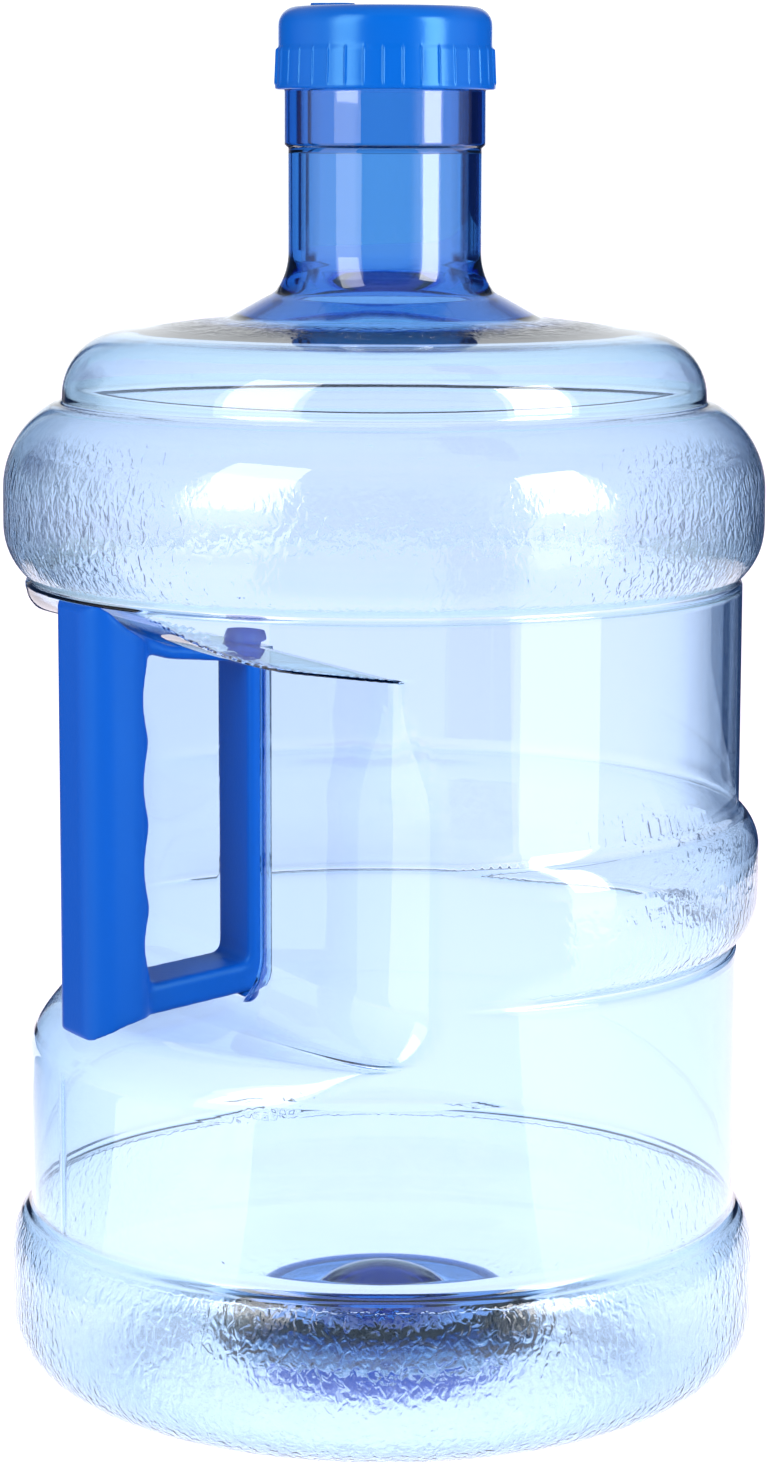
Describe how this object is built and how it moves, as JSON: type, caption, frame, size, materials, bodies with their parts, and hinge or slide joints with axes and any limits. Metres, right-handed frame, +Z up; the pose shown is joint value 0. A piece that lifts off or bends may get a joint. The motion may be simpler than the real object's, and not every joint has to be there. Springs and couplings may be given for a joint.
{
  "type": "water jug",
  "caption": "Large clear blue water jug: ringed blown body, side recess with a moulded-in finger-grip handle, long neck and a ribbed screw cap with a vent plug.",
  "frame": {"origin": "on the bottle's axis, at the flat surface the jug stands on", "axes": "+Z up the bottle's axis to the cap; the handle and its recess lie along -X"},
  "size_m": [0.21, 0.21, 0.383],
  "materials": {
    "clear_blue_shell": "clear blue tinted polycarbonate, glossy, with hammered bands",
    "handle_blue": "opaque blue moulded plastic, satin",
    "cap_blue": "blue moulded plastic, satin gloss",
    "seal_white": "soft foamed gasket",
    "plug_blue": "soft blue elastomer"
  },
  "bodies": {
    "jug": {"bottle": "clear_blue_shell", "handle": "handle_blue"},
    "seal": {"cap_seal": "seal_white"},
    "cap": {"cap": "cap_blue"},
    "plug": {"vent_plug": "plug_blue"}
  },
  "joints": [
    {"name": "cap_lift", "type": "slide", "parent": "jug", "child": "seal", "axis": [0, 0, 1], "range_m": [0, 0.0211]},
    {"name": "cap_turn", "type": "hinge", "parent": "seal", "child": "cap", "pos_m": [0, 0, 0.37], "axis": [0, 0, 1], "range_deg": [0, 1260]},
    {"name": "plug_pull", "type": "slide", "parent": "cap", "child": "plug", "axis": [0, 0, 1], "range_m": [0, 0.012]}
  ],
  "couplings": [
    {"joint": "cap_lift", "follows": "cap_turn", "m_per_rad": 0.00095493}
  ]
}
